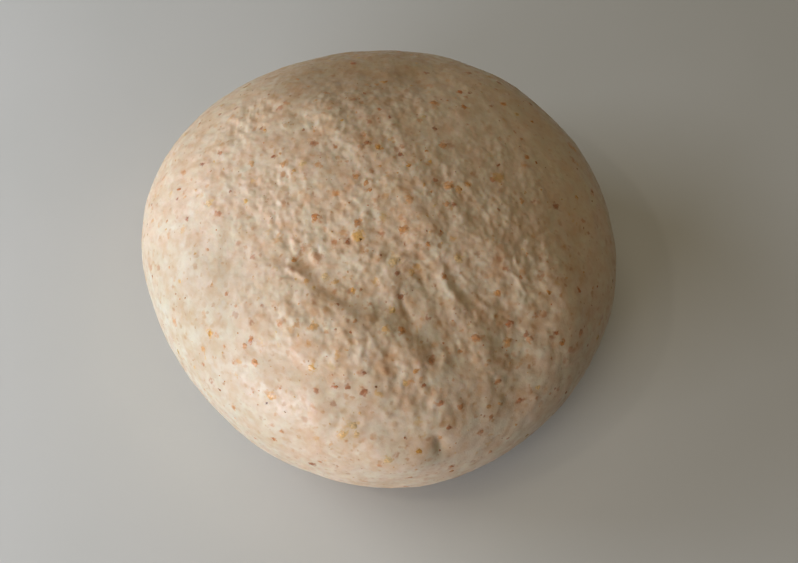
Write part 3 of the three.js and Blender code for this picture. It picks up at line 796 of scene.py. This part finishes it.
# Each flake starts as a ball, whose points remember how near its rim and how high they are. Its
# top runs out thinly to the rim.
tilt = add(flakes, "FunctionNodeAlignRotationToVector", axis="Z", out="Rotation", sockets={
    "Vector": outward})
spin = add(flakes, "FunctionNodeRandomValue", data_type="FLOAT_VECTOR", out="Value", sockets={
    "Max": (0, 0, 2 * math.pi), "Seed": 31})
spin = add(flakes, "FunctionNodeEulerToRotation", spin)
tilt = add(flakes, "FunctionNodeRotateRotation", tilt, spin, rotation_space="LOCAL")
form = add(flakes, "FunctionNodeRandomValue", data_type="FLOAT_VECTOR", out="Value", sockets={
    "Min": SLIMMEST, "Max": STOUTEST, "Seed": 32})
scale = add(flakes, "ShaderNodeVectorMath", form, operation="SCALE", sockets={"Scale": size})
shallow = add(flakes, "FunctionNodeCompare", depth, given["Deepest shown"], data_type="FLOAT",
              operation="LESS_THAN")
laid = []
for segments, rings, comparison, steepness in (
        (10, 6, "GREATER_THAN", "Steepness"), (6, 4, "LESS_THAN", "Fine steepness")):
    ball = add(flakes, "GeometryNodeMeshUVSphere", out="Mesh", sockets={
        "Segments": segments, "Rings": rings, "Radius": 0.5})
    level = add(flakes, "ShaderNodeVectorMath", at, (2, 2, 0), operation="MULTIPLY")
    rim = add(flakes, "ShaderNodeVectorMath", level, operation="LENGTH", out="Value")
    high = add(flakes, "ShaderNodeSeparateXYZ", at, out="Z")
    steep = add(flakes, "ShaderNodeMath", high, operation="ABSOLUTE")
    high = add(flakes, "ShaderNodeMath", high, steep, operation="MULTIPLY")
    high = add(flakes, "ShaderNodeMath", high, given[steepness], operation="MULTIPLY")
    for name, value in (("rim", rim), ("high", high)):
        ball = add(flakes, "GeometryNodeStoreNamedAttribute", ball, data_type="FLOAT", domain="POINT",
                   sockets={"Name": name, "Value": value})
    chosen = add(flakes, "FunctionNodeCompare", coarse, 0.5, data_type="FLOAT", operation=comparison)
    chosen = add(flakes, "FunctionNodeBooleanMath", chosen, shallow, operation="AND")
    laid.append(add(flakes, "GeometryNodeInstanceOnPoints", sockets={
        "Points": given["Bran"], "Selection": chosen, "Instance": ball, "Rotation": tilt,
        "Scale": scale}))
loose = add(flakes, "GeometryNodeRealizeInstances", add(flakes, "GeometryNodeJoinGeometry", laid))

# The mill leaves no two alike: each outline is pushed about in the plane of the skin. The flake
# is then bent to lie on the skin, and its crown stands out of it a little.
spread = add(flakes, "ShaderNodeMath", RAGGED_SCALE, size, operation="DIVIDE")
spread = add(flakes, "ShaderNodeVectorMath", at, operation="SCALE", sockets={"Scale": spread})
ragged = add(flakes, "ShaderNodeTexNoise", spread, out="Color", sockets={"Scale": 1.0})
ragged = add(flakes, "ShaderNodeVectorMath", ragged, (0.5, 0.5, 0.5), operation="SUBTRACT")
reach = add(flakes, "ShaderNodeMath", size, RAGGED_REACH, operation="MULTIPLY")
ragged = add(flakes, "ShaderNodeVectorMath", ragged, operation="SCALE", sockets={"Scale": reach})
loose = add(flakes, "GeometryNodeSetPosition", sockets={"Geometry": loose, "Offset": ragged})
skin = add(flakes, "GeometryNodeObjectInfo", given["Skin"], out="Geometry")
bent = add(flakes, "GeometryNodeProximity", skin, target_element="FACES", out="Position")
high = add(flakes, "GeometryNodeInputNamedAttribute", "high", data_type="FLOAT", out="Attribute")
high = add(flakes, "ShaderNodeMath", high, SUNK, operation="SUBTRACT")
high = add(flakes, "ShaderNodeMath", high, size, operation="MULTIPLY")
crown = add(flakes, "ShaderNodeVectorMath", outward, operation="SCALE", sockets={"Scale": high})
loose = add(flakes, "GeometryNodeSetPosition", sockets={
    "Geometry": loose, "Position": bent, "Offset": crown})
loose = add(flakes, "GeometryNodeSetShadeSmooth", loose)
loose = add(flakes, "GeometryNodeSetMaterial", loose, sockets={"Material": given["Finish"]})
flakes.links.new(loose, out["Flakes"])

# Milled spelt husk, wet through: brown chips, the shallowest ones glossy, veiled by the dough where
# they lie deeper, and all the more so towards their rims.
HUSK_BLOTCH = 0.7 * MM
BLOTCH_VALUES, BLOTCH_BRIGHTNESS = (0.3, 0.7), (0.6, 1.25)  # the noise's values, and what they give
HUSK_CHIPS = 0.45 * MM  # the small breaks in the husk's surface
HUSK_CHIPS_DEPTH = 0.08 * MM
BARE_MIDDLE = 0.4  # the dough leaves this share of a shallow flake bare
DEEP_HUSK = 0.25  # how much of the deepest flake's own colour shows
WET_DEPTHS, WET_ROUGHNESS = (0.05, 0.35), (0.2, 0.5)  # glossy to dull, by the depth

bran_finish, tree, place = new_finish("wet_bran_husk")
blotch = add(tree, "ShaderNodeTexNoise", place, sockets={"Scale": 1 / HUSK_BLOTCH, "Detail": 2.0})
blotch = add(tree, "ShaderNodeMapRange", blotch, *BLOTCH_VALUES, *BLOTCH_BRIGHTNESS)
husk = add(tree, "ShaderNodeVectorMath", husk_colour(tree, "tint"), operation="SCALE",
           sockets={"Scale": blotch})
rim = add(tree, "ShaderNodeAttribute", attribute_name="rim", out="Fac")
bare = add(tree, "ShaderNodeMapRange", rim, 1.0, BARE_MIDDLE, 0.0, 1.0,
           interpolation_type="SMOOTHSTEP")
depth = add(tree, "ShaderNodeAttribute", attribute_name="depth", out="Fac")
veil = add(tree, "ShaderNodeMapRange", depth, 0.0, 1.0, 1.0, DEEP_HUSK)
bare = add(tree, "ShaderNodeMath", bare, veil, operation="MULTIPLY")
colour = add(tree, "ShaderNodeMix", data_type="RGBA", out="Result", sockets={
    "Factor": bare, "A": dough_colour(tree, place), "B": husk})
wet = add(tree, "ShaderNodeMapRange", depth, *WET_DEPTHS, *WET_ROUGHNESS)
chips = add(tree, "ShaderNodeTexNoise", place, sockets={"Scale": 1 / HUSK_CHIPS, "Detail": 1.0})
bump = add(tree, "ShaderNodeBump", sockets={
    "Strength": 0.35, "Distance": HUSK_CHIPS_DEPTH, "Height": chips})
shader = add(tree, "ShaderNodeBsdfPrincipled", sockets={
    "Base Color": colour, "Roughness": wet, "IOR": 1.45, "Normal": bump})
add(tree, "ShaderNodeOutputMaterial", shader)

bran_flakes = bpy.data.objects.new("bran_flakes", bran_places.data)
scene.collection.objects.link(bran_flakes)
bpy.data.objects.remove(bran_places)
make_plain(bran_flakes, flakes, {
    "Skin": dough_skin, "Steepness": STEEPNESS, "Fine steepness": FINE_STEEPNESS,
    "Deepest shown": DEEPEST_SHOWN, "Finish": bran_finish})
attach(bran_flakes, "root")
